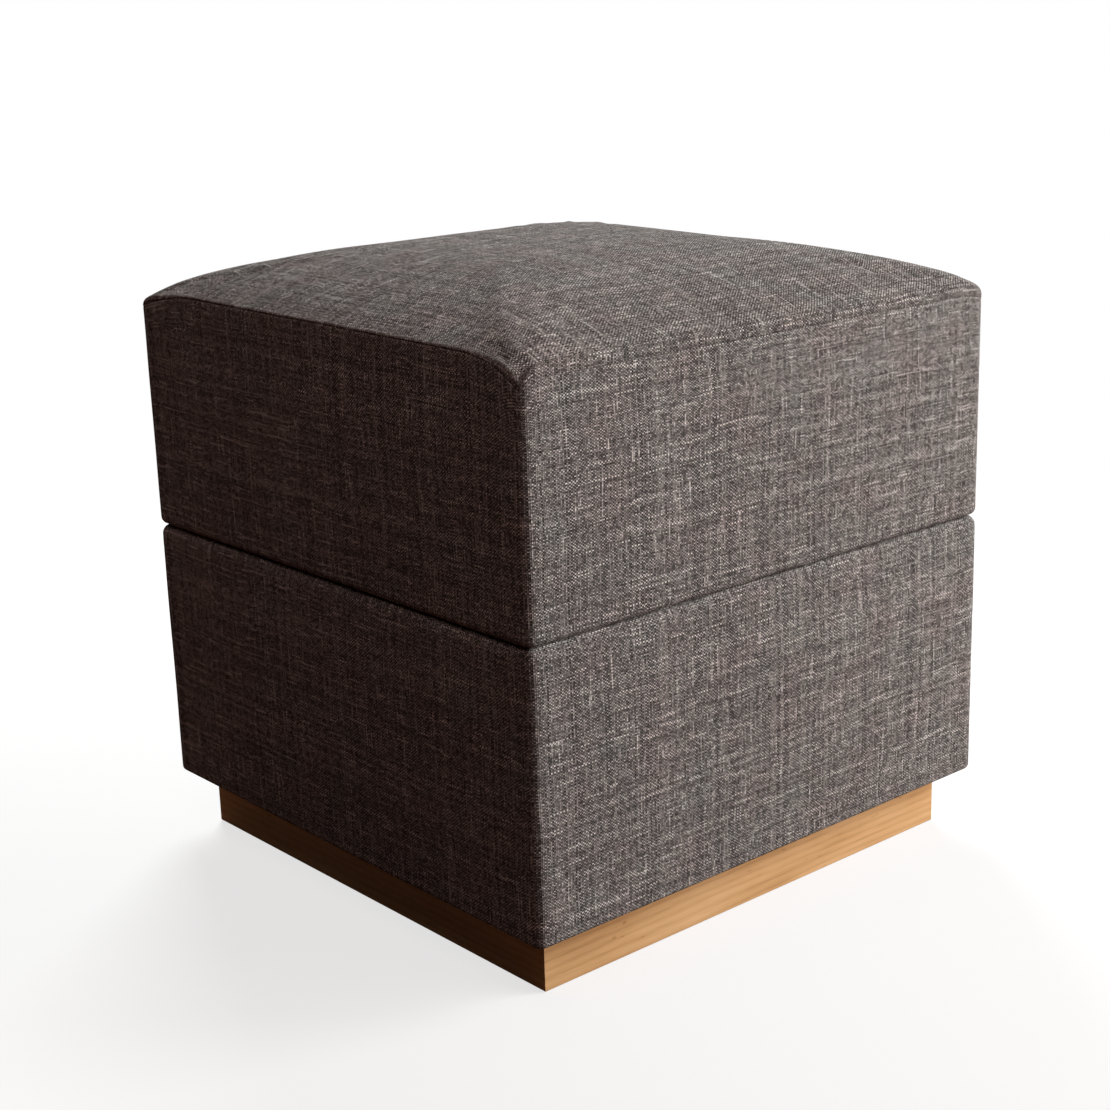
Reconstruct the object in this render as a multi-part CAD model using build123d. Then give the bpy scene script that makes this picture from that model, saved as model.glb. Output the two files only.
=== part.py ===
from build123d import *
import math
import os

# Ottoman with storage: a square upholstered box on a low wooden plinth, with a deep hinged lid.
# Millimetres. Origin on the floor under the middle of the box, +Z up.
# The front is towards -Y, the hinges are along the back at +Y, and left is towards -X.

# Driving dimensions of the outside
side = 450.0              # width and depth over the fabric
plinth_height = 45.0
plinth_inset = 22.0       # how far the plinth stands back from the fabric
split_height = 252.0      # level of the hinge axis, between box and lid
seam_height = 431.0       # seam between the lid's side band and its top
crown_height = 463.5      # highest point of the seat
crown_shoulder = 100.0    # width of the seat's round shoulder
shoulder_slope = math.radians(3.0)   # slope of the seat where its gentle middle meets the shoulder
shoulder_corner = 45.0    # plan radius of the crown's corners at the top of the shoulder
seam_corner = 10.0        # plan radius of the crown's corners at the seam
corner_radius = 8.0       # upright corners, over the fabric
rim_radius = 7.5          # rounded rims where box and lid meet, over the fabric
foot_radius = 4.0         # bottom edge of the box, over the fabric

# Thicknesses, from the outside in
fabric = 1.5
pad = 7.0                 # foam sheet glued to each panel
panel = 15.0              # plywood
lining = 1.5
deck = 12.0               # plywood top of the lid, under the seat foam
deck_bottom = 360.0
hem = 26.0                # fabric turned over a rim and down inside
flange = 45.0             # fabric turned under the floor of the box
rim_gap = 0.4             # between the closed rims

# Plinth
plinth_board = 20.0
plinth_easing = 1.2       # rounded arris along the bottom of each board
corner_block = 36.0
corner_block_height = 42.0
dust_sheet = 1.5

# Butt hinges
hinge_places = {"left": -120.0, "right": 120.0}
hinge_length = 60.0
hinge_setback = 3.2       # hinge axis in from the back of the fabric
knuckle_count = 5
knuckle_radius = 3.0
pin_radius = 1.5
pin_head_radius = 2.4
pin_head = 1.0
running_clearance = 0.05
knuckle_clearance = 0.3
knuckle_end_gap = 0.2
knuckle_relief = 3.6      # radius of the groove that clears the knuckles
leaf = 1.2
leaf_width = 15.5         # from the leaf's front edge to the knuckles
leaf_corner = 3.0
leaf_screw_pitch = 20.0
leaf_screw_stagger = 2.5  # the middle screw stands towards the front, the outer two towards the back
cut_margin = 0.5          # fabric is trimmed this much clear of a leaf

# Elbow stays, as offsets from the hinge axis towards the front and up
stay_box_pivot = (140.0, -75.0)
stay_lid_pivot = (110.0, 70.0)
stay_bar = 2.0
stay_bar_width = 13.0
stay_gap = 0.3
bracket = 1.5
bracket_eye = 9.0         # half width of a bracket at its pivot
bracket_foot = 19.0       # half width of a bracket at its screws
bracket_reach = 22.0      # from the pivot to the far edge of the bracket
bracket_corner = 5.0
bracket_screw_spread = 12.0
bracket_screw_rise = 15.0
rivet_radius = 2.5
rivet_head_radius = 4.6
rivet_head = 1.2
spacer_radius = 5.0
shoulder_radius = 4.0
shoulder = 0.2
open_pivot_clearance = 0.4

# Wood screws
screw_radius = 1.75
screw_head_radius = 3.2
pilot_clearance = 0.05
leaf_screw_length = 16.0
bracket_screw_length = 15.0
bracket_screw_head = 1.5
plinth_screw_length = 40.0
plinth_screw_spread = 90.0

# Faces worked out from the driving dimensions
half = side / 2
pad_face = half - fabric
panel_face = pad_face - pad
panel_inside = panel_face - panel
clear_half = panel_inside - lining
plinth_face = half - plinth_inset
plinth_inside = plinth_face - plinth_board
box_rim = split_height - rim_gap / 2
lid_rim = split_height + rim_gap / 2
wall_top = box_rim - fabric
rail_bottom = lid_rim + fabric
floor_bottom = plinth_height + fabric
floor_top = floor_bottom + panel
deck_top = deck_bottom + deck
box_hem_end = box_rim - hem
lid_hem_end = lid_rim + hem
hinge_y = half - hinge_setback
leaf_front = hinge_y - knuckle_radius - leaf_width
leaf_screw_y = panel_face - panel / 2
margin = 30.0             # reach of cutting shapes past what they cut
crown_overrun = 6.0       # how far the crown's surface runs on below the seam
shoulder_steps = 7        # level lines up the shoulder
middle_steps = 5          # level lines over the gentle middle

pieces = {}


def block(x_range, y_range, z_range):
    """Rectangular block between three pairs of limits."""
    spans = [high - low for low, high in (x_range, y_range, z_range)]
    middles = [(low + high) / 2 for low, high in (x_range, y_range, z_range)]
    return Pos(*middles) * Box(*spans)


def square_block(half_side, low, high):
    """Square block about the middle of the ottoman."""
    return block((-half_side, half_side), (-half_side, half_side), (low, high))


def rounded_block(half_side, corner, low, high):
    """Square block with rounded upright corners."""
    outline = RectangleRounded(2 * half_side, 2 * half_side, corner)
    return extrude(Pos(0, 0, low) * outline, amount=high - low)


def round_rim(solid, axis_end, radius):
    """Round the edges of a block's lowest (0) or highest (-1) face."""
    rim = solid.faces().sort_by(Axis.Z)[axis_end].edges()
    return fillet(rim, radius)


def rod_x(radius, x_start, x_end, y, z):
    """Round rod lying along X."""
    middle = Pos((x_start + x_end) / 2, y, z)
    return middle * Rot(0, 90, 0) * Cylinder(radius, abs(x_end - x_start))


def rod_down(radius, x, y, top, length):
    """Round rod hanging down from a level."""
    return Pos(x, y, top - length / 2) * Cylinder(radius, length)


def four_sides(ring, low, high):
    """Split a square ring of padding: front and back run the full width, the sides fit between."""
    reach = half + margin
    return {
        "front": ring & block((-reach, reach), (-reach, -panel_face), (low, high)),
        "back": ring & block((-reach, reach), (panel_face, reach), (low, high)),
        "left": ring & block((-reach, -panel_face), (-panel_face, panel_face), (low, high)),
        "right": ring & block((panel_face, reach), (-panel_face, panel_face), (low, high)),
    }


def four_panels(low, high):
    """Plywood panels of a frame: front and back run the full width, the sides fit between."""
    width = (-panel_face, panel_face)
    depth = (-panel_inside, panel_inside)
    return {
        "front": block(width, (-panel_face, -panel_inside), (low, high)),
        "back": block(width, (panel_inside, panel_face), (low, high)),
        "left": block((-panel_face, -panel_inside), depth, (low, high)),
        "right": block((panel_inside, panel_face), depth, (low, high)),
    }


def countersunk_screw(length, head_height):
    """Wood screw pointing down, with its flat head level with z = 0."""
    head = Pos(0, 0, -head_height / 2) * Cone(screw_radius, screw_head_radius, head_height)
    return head + rod_down(screw_radius, 0, 0, 0, length)


# Crowned top of the lid
def contour(half_side, corner, level):
    """Level line of the crown: a square with round corners."""
    return Pos(0, 0, level) * RectangleRounded(2 * half_side, 2 * half_side, corner)


def level_lines():
    """Level lines up the round shoulder, then over the gentle middle, from below the seam inwards."""
    shoulder_half = half - crown_shoulder
    middle_radius = shoulder_half / math.sin(shoulder_slope)
    shoulder_level = crown_height - middle_radius * (1 - math.cos(shoulder_slope))
    drop = shoulder_level - seam_height
    seam_slope = 2 * math.atan2(drop, crown_shoulder) - shoulder_slope
    radius = crown_shoulder / (math.sin(seam_slope) - math.sin(shoulder_slope))
    steepest = math.acos(math.cos(shoulder_slope) - (drop + crown_overrun) / radius)

    shoulder_lines = []
    for step in range(shoulder_steps + 1):
        slope = steepest + (shoulder_slope - steepest) * step / shoulder_steps
        reach = shoulder_half + radius * (math.sin(slope) - math.sin(shoulder_slope))
        fall = radius * (math.cos(shoulder_slope) - math.cos(slope))
        fullness = max(1 - fall / drop, 0)
        corner = seam_corner + (shoulder_corner - seam_corner) * fullness
        shoulder_lines.append((reach, corner, shoulder_level - fall))

    middle_lines = [shoulder_lines[-1]]
    for step in range(1, middle_steps):
        slope = shoulder_slope * (1 - step / middle_steps)
        reach = middle_radius * math.sin(slope)
        fall = middle_radius * (1 - math.cos(slope))
        middle_lines.append((reach, shoulder_corner * reach / shoulder_half, crown_height - fall))
    return shoulder_lines, middle_lines


def crown_body(lower):
    """Solid under the crown, wider than the lid itself, lowered by a thickness."""
    shoulder_lines, middle_lines = level_lines()
    half_side, corner, level = shoulder_lines[0]
    body = rounded_block(half_side, corner, split_height - margin, level)
    body += loft([contour(*line) for line in shoulder_lines])
    body += loft([contour(*line) for line in middle_lines], ruled=True)
    return Pos(0, 0, -lower) * body


# Plinth: four mitred boards, glue blocks in the corners, a dust sheet and screws from above
def plinth():
    outline = Polyline(
        (-plinth_face, -plinth_face),
        (plinth_face, -plinth_face),
        (plinth_inside, -plinth_inside),
        (-plinth_inside, -plinth_inside),
        close=True,
    )
    board = extrude(make_face(outline), amount=plinth_height)
    arris = board.edges().filter_by(Axis.X).group_by(Axis.Y)[0].sort_by(Axis.Z)[0]
    board = fillet(arris, plinth_easing)
    for name, turn in {"front": 0, "right": 90, "back": 180, "left": 270}.items():
        pieces[f"plinth_{name}"] = Rot(0, 0, turn) * board - plinth_pilots()

    reach = plinth_inside - corner_block
    corner = Polyline(
        (plinth_inside, plinth_inside),
        (reach, plinth_inside),
        (plinth_inside, reach),
        close=True,
    )
    low = plinth_height - dust_sheet - corner_block_height
    glue_block = extrude(Pos(0, 0, low) * make_face(corner), amount=corner_block_height)
    glue_blocks = [Rot(0, 0, turn) * glue_block for turn in (0, 90, 180, 270)]
    pieces["plinth_corner_blocks"] = Compound(glue_blocks)
    pieces["dust_sheet"] = square_block(plinth_inside, plinth_height - dust_sheet, plinth_height)


def plinth_screw_places():
    """Two screws down into each plinth board."""
    line = plinth_face - plinth_board / 2
    spread = plinth_screw_spread
    front_and_back = [(x, y) for x in (-spread, spread) for y in (-line, line)]
    return front_and_back + [(y, x) for x, y in front_and_back]


def plinth_pilots():
    radius = screw_radius + pilot_clearance
    return [rod_down(radius, x, y, floor_top, plinth_screw_length) for x, y in plinth_screw_places()]


def plinth_screws():
    head_height = screw_head_radius - screw_radius
    screw = countersunk_screw(plinth_screw_length, head_height)
    return [Pos(x, y, floor_top) * screw for x, y in plinth_screw_places()]


# Hinges
def knuckle_span(index):
    pitch = hinge_length / knuckle_count
    start = -hinge_length / 2 + index * pitch
    first_gap = 0 if index == 0 else knuckle_end_gap / 2
    last_gap = 0 if index == knuckle_count - 1 else knuckle_end_gap / 2
    return start + first_gap, start + pitch - last_gap


def hinge_leaf(own_knuckles, plate_low):
    """Leaf with its own knuckles, cut clear of the other leaf's knuckles."""
    plate_back = hinge_y - (knuckle_radius + pin_radius) / 2
    half_length = hinge_length / 2
    plate = block((-half_length, half_length), (leaf_front, plate_back), (plate_low, plate_low + leaf))
    plate = fillet(plate.edges().filter_by(Axis.Z).group_by(Axis.Y)[0], leaf_corner)
    barrel = rod_x(pin_radius + running_clearance, -hinge_length, hinge_length, hinge_y, split_height)
    for index in range(knuckle_count):
        start, end = knuckle_span(index)
        if index in own_knuckles:
            plate += rod_x(knuckle_radius, start, end, hinge_y, split_height)
        else:
            room_start = start - knuckle_end_gap
            room_end = end + knuckle_end_gap
            plate -= rod_x(knuckle_radius + knuckle_clearance, room_start, room_end, hinge_y, split_height)
    return plate - barrel


def hinge_pin():
    half_length = hinge_length / 2
    pin = rod_x(pin_radius, -half_length - pin_head, half_length + pin_head, hinge_y, split_height)
    for end in (-1, 1):
        head_start = end * half_length
        head_end = end * (half_length + pin_head)
        pin += rod_x(pin_head_radius, head_start, head_end, hinge_y, split_height)
    return pin


def leaf_screw_points():
    """Screw centres along one leaf, from the middle of its screw line."""
    return [
        (-leaf_screw_pitch, leaf_screw_stagger),
        (0, -leaf_screw_stagger),
        (leaf_screw_pitch, leaf_screw_stagger),
    ]


def leaf_screws(place, upward):
    """Three screws through a leaf, down into the box or up into the lid."""
    screw = countersunk_screw(leaf_screw_length, leaf)
    level = wall_top + leaf
    if upward:
        screw = Rot(180, 0, 0) * screw
        level = rail_bottom - leaf
    return [Pos(place + x, leaf_screw_y + y, level) * screw for x, y in leaf_screw_points()]


def leaf_pilots(upward):
    """Pilot holes for both hinges in the top of the back wall or the bottom of the back rail."""
    depth = leaf_screw_length
    top = rail_bottom + depth if upward else wall_top
    radius = screw_radius + pilot_clearance
    return [
        rod_down(radius, place + x, leaf_screw_y + y, top, depth)
        for place in hinge_places.values()
        for x, y in leaf_screw_points()
    ]


def knuckle_grooves():
    reach = hinge_length / 2 + pin_head + cut_margin
    return [
        rod_x(knuckle_relief, place - reach, place + reach, hinge_y, split_height)
        for place in hinge_places.values()
    ]


def leaf_windows(low, high):
    """Places in a fabric rim that are trimmed away for the leaves."""
    reach = hinge_length / 2 + cut_margin
    return [
        block((place - reach, place + reach), (leaf_front - cut_margin, hinge_y), (low, high))
        for place in hinge_places.values()
    ]


def hinges():
    box_knuckles = range(0, knuckle_count, 2)
    lid_knuckles = range(1, knuckle_count, 2)
    box_screws = []
    lid_screws = []
    for name, place in hinge_places.items():
        own_box_screws = leaf_screws(place, False)
        own_lid_screws = leaf_screws(place, True)
        box_leaf = hinge_leaf(box_knuckles, wall_top)
        lid_leaf = hinge_leaf(lid_knuckles, rail_bottom - leaf)
        pieces[f"hinge_{name}_box_leaf"] = Pos(place, 0, 0) * box_leaf - own_box_screws
        pieces[f"hinge_{name}_lid_leaf"] = Pos(place, 0, 0) * lid_leaf - own_lid_screws
        pieces[f"hinge_{name}_pin"] = Pos(place, 0, 0) * hinge_pin()
        box_screws += own_box_screws
        lid_screws += own_lid_screws
    pieces["hinge_box_screws"] = Compound(box_screws)
    pieces["hinge_lid_screws"] = Compound(lid_screws)


# Elbow stays. The box pivot, the elbow and the lid pivot make a parallelogram with the hinge axis,
# so the lower bar turns with the lid and the upper bar keeps its slope.
box_pivot = (hinge_y - stay_box_pivot[0], split_height + stay_box_pivot[1])
lid_pivot = (hinge_y - stay_lid_pivot[0], split_height + stay_lid_pivot[1])
elbow = (box_pivot[0] - stay_lid_pivot[0], box_pivot[1] + stay_lid_pivot[1])
bracket_inner = clear_half - bracket
lower_bar_outer = bracket_inner - stay_gap
lower_bar_inner = lower_bar_outer - stay_bar
upper_bar_outer = lower_bar_inner - stay_gap
upper_bar_inner = upper_bar_outer - stay_bar
bracket_screw_points = [
    (-bracket_screw_spread, bracket_screw_rise),
    (bracket_screw_spread, bracket_screw_rise),
]


def stay_link(start, end, x_low, x_high, start_hole, end_hole):
    """Flat bar with round ends and a hole at each pivot."""
    length = math.dist(start, end)
    slope = math.degrees(math.atan2(end[1] - start[1], end[0] - start[0]))
    middle = Pos((start[0] + end[0]) / 2, (start[1] + end[1]) / 2)
    outline = middle * Rot(0, 0, slope) * SlotCenterToCenter(length, stay_bar_width)
    outline -= Pos(*start) * Circle(start_hole)
    outline -= Pos(*end) * Circle(end_hole)
    return extrude(Plane.YZ.offset(x_low) * outline, amount=x_high - x_low)


def stay_bracket(pivot, up):
    """Plate with the pivot at one end and two screws at the other, above or below it."""
    outline = Polyline(
        (-bracket_eye, -bracket_eye),
        (bracket_eye, -bracket_eye),
        (bracket_foot, bracket_eye),
        (bracket_foot, bracket_reach),
        (-bracket_foot, bracket_reach),
        (-bracket_foot, bracket_eye),
        close=True,
    )
    plate = fillet(make_face(outline).vertices(), bracket_corner)
    plate -= Circle(rivet_radius + running_clearance)
    plate -= [Pos(*point) * Circle(screw_radius + pilot_clearance) for point in bracket_screw_points]
    if not up:
        plate = Rot(0, 0, 180) * plate
    return extrude(Plane.YZ.offset(bracket_inner) * (Pos(*pivot) * plate), amount=bracket)


def bracket_screw_places(pivot, up):
    turn = 1 if up else -1
    return [(pivot[0] + turn * y, pivot[1] + turn * z) for y, z in bracket_screw_points]


def bracket_screw(y, z):
    head = rod_x(screw_head_radius, bracket_inner - bracket_screw_head, bracket_inner, y, z)
    return head + rod_x(screw_radius, bracket_inner, bracket_inner + bracket_screw_length, y, z)


def bracket_pilots(pivot, up):
    """Holes for one bracket's screws through the lining and into the panel, on both sides."""
    reach = bracket_inner + bracket_screw_length
    radius = screw_radius + pilot_clearance
    right = [rod_x(radius, bracket_inner, reach, y, z) for y, z in bracket_screw_places(pivot, up)]
    return right + [mirror(hole, about=Plane.YZ) for hole in right]


def stay_rivets():
    inner_end = upper_bar_inner - stay_gap
    box_rivet = rod_x(rivet_radius, lower_bar_inner - stay_gap, clear_half, *box_pivot)
    box_rivet += rod_x(shoulder_radius, bracket_inner - shoulder, bracket_inner, *box_pivot)
    box_head = lower_bar_inner - stay_gap
    box_rivet += rod_x(rivet_head_radius, box_head - rivet_head, box_head, *box_pivot)

    elbow_rivet = rod_x(rivet_radius, inner_end, lower_bar_outer, *elbow)
    elbow_rivet += rod_x(rivet_head_radius, lower_bar_outer, lower_bar_outer + rivet_head, *elbow)
    elbow_rivet += rod_x(rivet_head_radius, inner_end - rivet_head, inner_end, *elbow)

    lid_rivet = rod_x(rivet_radius, inner_end, clear_half, *lid_pivot)
    lid_rivet += rod_x(spacer_radius, upper_bar_outer + stay_gap, bracket_inner, *lid_pivot)
    lid_rivet += rod_x(rivet_head_radius, inner_end - rivet_head, inner_end, *lid_pivot)
    return {"box_rivet": box_rivet, "elbow_rivet": elbow_rivet, "lid_rivet": lid_rivet}


def stays():
    running = rivet_radius + running_clearance
    loose = rivet_radius + open_pivot_clearance
    right_stay = {
        "box_bracket": stay_bracket(box_pivot, False),
        "lid_bracket": stay_bracket(lid_pivot, True),
        "lower_bar": stay_link(box_pivot, elbow, lower_bar_inner, lower_bar_outer, running, running),
        "upper_bar": stay_link(elbow, lid_pivot, upper_bar_inner, upper_bar_outer, running, loose),
    }
    right_stay.update(stay_rivets())
    for name, solid in right_stay.items():
        pieces[f"stay_right_{name}"] = solid
        pieces[f"stay_left_{name}"] = mirror(solid, about=Plane.YZ)
    for name, pivot, up in (("box", box_pivot, False), ("lid", lid_pivot, True)):
        right = [bracket_screw(y, z) for y, z in bracket_screw_places(pivot, up)]
        left = [mirror(screw, about=Plane.YZ) for screw in right]
        pieces[f"stay_{name}_screws"] = Compound(right + left)


# Box: plywood walls on a plywood floor, foam on the outside, fabric over it and lining inside
def box():
    floor_holes = plinth_screws()
    pieces["floor_panel"] = square_block(panel_face, floor_bottom, floor_top) - floor_holes
    pieces["plinth_screws"] = Compound(floor_holes)

    walls = four_panels(floor_top, wall_top)
    walls["back"] -= leaf_pilots(False)
    for name in ("left", "right"):
        walls[name] -= bracket_pilots(box_pivot, False)
    for name, wall in walls.items():
        pieces[f"box_{name}_wall"] = wall

    padded = rounded_block(pad_face, corner_radius - fabric, floor_bottom, wall_top)
    padded = round_rim(padded, -1, rim_radius - fabric)
    padded = round_rim(padded, 0, foot_radius - fabric)
    ring = padded - square_block(panel_face, floor_bottom - margin, wall_top + margin)
    pads = four_sides(ring, floor_bottom, wall_top)
    pads["back"] -= knuckle_grooves()
    for name, sheet in pads.items():
        pieces[f"box_{name}_pad"] = sheet

    outside = rounded_block(half, corner_radius, plinth_height, box_rim)
    outside = round_rim(outside, -1, rim_radius)
    outside = round_rim(outside, 0, foot_radius)
    cover = outside - padded
    cover -= square_block(panel_inside, wall_top - margin, box_rim + margin)
    cover -= square_block(half - flange, plinth_height - margin, floor_bottom)
    turned_in = square_block(panel_inside, box_hem_end, box_rim)
    cover += turned_in - square_block(clear_half, box_hem_end - margin, box_rim + margin)
    cover -= leaf_windows(wall_top, box_rim + margin)
    cover -= knuckle_grooves()
    pieces["box_cover"] = cover - plinth_pilots()

    inside = square_block(panel_inside, floor_top, box_hem_end)
    inside -= square_block(clear_half, floor_top + lining, box_hem_end + margin)
    pieces["box_lining"] = inside - bracket_pilots(box_pivot, False)


# Lid: plywood rails and deck, foam all round, a crowned seat of foam, fabric over it and lining inside
def lid():
    rails = four_panels(rail_bottom, deck_bottom)
    rails["back"] -= leaf_pilots(True)
    for name in ("left", "right"):
        rails[name] -= bracket_pilots(lid_pivot, True)
    for name, rail in rails.items():
        pieces[f"lid_{name}_rail"] = rail
    pieces["lid_deck"] = square_block(panel_face, deck_bottom, deck_top)

    foam_crown = crown_body(fabric)
    padded = rounded_block(pad_face, corner_radius - fabric, rail_bottom, crown_height + margin)
    padded = round_rim(padded, 0, rim_radius - fabric)
    padded = padded & foam_crown
    ring = padded - square_block(panel_face, rail_bottom - margin, deck_top)
    pads = four_sides(ring, rail_bottom, deck_top)
    pads["back"] -= knuckle_grooves()
    for name, sheet in pads.items():
        pieces[f"lid_{name}_pad"] = sheet
    pieces["seat_foam"] = padded & square_block(half, deck_top, crown_height + margin)

    outside = rounded_block(half, corner_radius, lid_rim, crown_height + margin)
    outside = round_rim(outside, 0, rim_radius)
    cover = (outside & crown_body(0)) - padded
    pieces["lid_top_panel"] = cover - foam_crown
    band = cover & foam_crown
    band -= square_block(panel_inside, lid_rim - margin, rail_bottom + margin)
    turned_in = square_block(panel_inside, lid_rim, lid_hem_end)
    band += turned_in - square_block(clear_half, lid_rim - margin, lid_hem_end + margin)
    band -= leaf_windows(lid_rim - margin, rail_bottom)
    band -= knuckle_grooves()
    pieces["lid_side_band"] = band

    inside = square_block(panel_inside, lid_hem_end, deck_bottom)
    inside -= square_block(clear_half, lid_hem_end - margin, deck_bottom - lining)
    pieces["lid_lining"] = inside - bracket_pilots(lid_pivot, True)


plinth()
box()
lid()
hinges()
stays()

os.makedirs("parts", exist_ok=True)
for name, solid in pieces.items():
    export_step(solid, f"parts/{name}.step")
print(f"{len(pieces)} nodes written")
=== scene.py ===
# %% [markdown]
# # Dressing a storage ottoman
# A storage ottoman is a plywood box on a low wooden plinth, with a deep hinged lid, foam glued to its faces
# and heavy cloth pulled over the foam. The carpentry, hinges and stays come from a CAD model, at real size
# and in metres. We could model them again here, but then two models would have to agree. So this lesson
# loads the CAD model as a fixed frame and makes only what CAD is poor at: cloth, padding and finishes.

# %% Load the frame
import math

import bpy
from mathutils import Euler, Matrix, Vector, noise


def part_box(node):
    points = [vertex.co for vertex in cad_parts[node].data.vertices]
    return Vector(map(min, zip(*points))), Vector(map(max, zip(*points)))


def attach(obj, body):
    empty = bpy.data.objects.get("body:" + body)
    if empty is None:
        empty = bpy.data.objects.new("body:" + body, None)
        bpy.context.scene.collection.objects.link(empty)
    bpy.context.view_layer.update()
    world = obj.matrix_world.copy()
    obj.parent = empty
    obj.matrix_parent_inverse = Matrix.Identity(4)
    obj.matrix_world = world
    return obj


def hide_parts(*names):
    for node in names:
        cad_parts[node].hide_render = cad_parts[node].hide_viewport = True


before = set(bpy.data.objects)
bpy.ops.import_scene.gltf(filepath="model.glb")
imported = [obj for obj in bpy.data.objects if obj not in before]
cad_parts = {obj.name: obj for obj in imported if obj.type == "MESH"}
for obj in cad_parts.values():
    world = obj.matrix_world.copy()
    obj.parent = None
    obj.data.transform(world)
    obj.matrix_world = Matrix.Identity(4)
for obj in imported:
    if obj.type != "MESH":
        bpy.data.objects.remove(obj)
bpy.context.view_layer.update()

# %% [markdown]
# ## Sizes come from the carpentry
# An upholsterer measures the bare box before cutting any cloth. We do the same: every face that the cloth
# touches is read from the frame, so a change in the CAD model moves the cloth with it.

# %% Measure the carpentry
MM = 0.001

cover_low, cover_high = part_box("box_cover")
wall_low, wall_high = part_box("box_front_wall")

half = cover_high.x                       # from the middle to the outside of the cloth
foot_level = cover_low.z                  # underside of the box
box_rim = cover_high.z                    # top of the box
lid_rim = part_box("lid_side_band")[0].z    # underside of the lid
crown_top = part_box("lid_top_panel")[1].z  # highest point of the seat
panel_face = -wall_low.y                  # outside of the plywood
panel_inside = -wall_high.y               # inside of the plywood
wall_top = wall_high.z                    # top of the plywood walls
floor_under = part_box("floor_panel")[0].z  # underside of the plywood floor
rail_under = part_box("lid_front_rail")[0].z
deck_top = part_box("lid_deck")[1].z
cloth = floor_under - foot_level          # thickness of the cover
clear_half = panel_inside - cloth         # inside of the turned-in hems
box_hem_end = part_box("box_lining")[1].z
lid_hem_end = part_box("lid_lining")[0].z
print(f"cube {2 * half:.3f} m wide, split at {(box_rim + lid_rim) / 2:.3f} m, top at {crown_top:.3f} m")

# %% [markdown]
# The carpentry can't know how round the cloth turns over an edge, so only that is written down here. The
# lid's rim is pulled a little tighter than the box's.

# %% Set how round the edges are
corner_round = 8 * MM                     # upright corners
rim_round = 7.5 * MM                      # rim of the box
lid_rim_round = 6 * MM                    # rim of the lid
foot_round = 4 * MM                       # bottom edge of the box
inner_round = 1.2 * MM                    # inner edge of a rim
sharp_corner = 0.6 * MM                   # corners of what lies inside the cloth
flange = 45 * MM                          # cloth turned under the floor
print("rims of box and lid:", rim_round, lid_rim_round)

# %% [markdown]
# ## The camera
# The photograph was taken from a little above seat height, looking at the front left edge. A camera can be
# set by eye, but the eye is easily a few degrees out, so its place was found by fitting the outline of a
# rounded cube to the pixels, and here it is only written down. A longish lens keeps the upright edges nearly
# parallel.

# %% Place the camera


def new_object(name, data):
    """Object with a mesh, camera or lamp, put into the scene."""
    made = bpy.data.objects.new(name, data)
    bpy.context.scene.collection.objects.link(made)
    return made


camera_data = bpy.data.cameras.new("camera")
camera_data.sensor_width = 36.0
camera_data.lens = 65.7
camera = new_object("camera", camera_data)
camera.location = (-0.98805, -1.14484, 0.65952)
camera.rotation_euler = Euler([math.radians(angle) for angle in (73.892, 1.724, -41.038)])
bpy.context.scene.camera = camera
bpy.context.scene.view_settings.view_transform = "Standard"
print("camera stands", round(camera.location.length, 3), "m from the middle of the floor")

# %% [markdown]
# ## The crown of the seat
# A foam seat under tight cloth is not a sphere: it is nearly flat in the middle and falls over a broad round
# shoulder to its seam. It could be sculpted, or blown up from a flat mesh. A formula is better here, because
# the seam, the roll at the edge and the side band all have to know how high the seat is at a point. Its
# section is two arcs that meet without a kink: a very flat one in the middle and a rounder one for the
# shoulder.

# %% Shape the shoulder
seam_level = 431 * MM                     # where the even crown meets the edge
shoulder_width = 100 * MM
shoulder_slope = math.radians(3)          # slope at the top of the shoulder
shoulder_half = half - shoulder_width
middle_radius = shoulder_half / math.sin(shoulder_slope)
shoulder_level = crown_top - middle_radius * (1 - math.cos(shoulder_slope))
shoulder_drop = shoulder_level - seam_level
seam_slope = 2 * math.atan2(shoulder_drop, shoulder_width) - shoulder_slope
shoulder_radius = shoulder_width / (math.sin(seam_slope) - math.sin(shoulder_slope))
print(f"shoulder falls {shoulder_drop / MM:.1f} mm, to a slope of {math.degrees(seam_slope):.0f} degrees")

# %% [markdown]
# Seen from above, the level lines of the crown, like the height lines of a map, are squares with round
# corners. To find the height above any point we look for the level line that passes through it, by halving
# the range in which it can lie.

# %% Find the height above a point
shoulder_corner = 45 * MM                 # plan radius of the level line at the top of the shoulder
seam_corner = 10 * MM                     # and at the seam
HALVINGS = 30
SEARCH_ROOM = 0.1                         # how far past its point a level line is looked for, as a share


def level_line(reach):
    """Corner radius and height of the crown's level line that reaches so far from the middle."""
    if reach <= shoulder_half:
        slope = math.asin(reach / middle_radius)
        return shoulder_corner * reach / shoulder_half, crown_top - middle_radius * (1 - math.cos(slope))
    slope = math.asin(math.sin(shoulder_slope) + (reach - shoulder_half) / shoulder_radius)
    fall = shoulder_radius * (math.cos(shoulder_slope) - math.cos(slope))
    fullness = max(1 - fall / shoulder_drop, 0)
    return seam_corner + (shoulder_corner - seam_corner) * fullness, shoulder_level - fall


def even_crown(x, y):
    """Height of the seat above a point, alike at all four corners."""
    far = max(abs(x), abs(y))
    near = min(abs(x), abs(y))
    low, high = far, far + SEARCH_ROOM * near
    for _ in range(HALVINGS):
        reach = (low + high) / 2
        core = reach - level_line(reach)[0]
        passes = far if near <= core else core + math.hypot(far - core, near - core)
        if passes > reach:
            low = reach
        else:
            high = reach
    return level_line((low + high) / 2)[1]


print("even crown, middle and corner:", round(even_crown(0, 0), 4), round(even_crown(half, half), 4))

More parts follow.
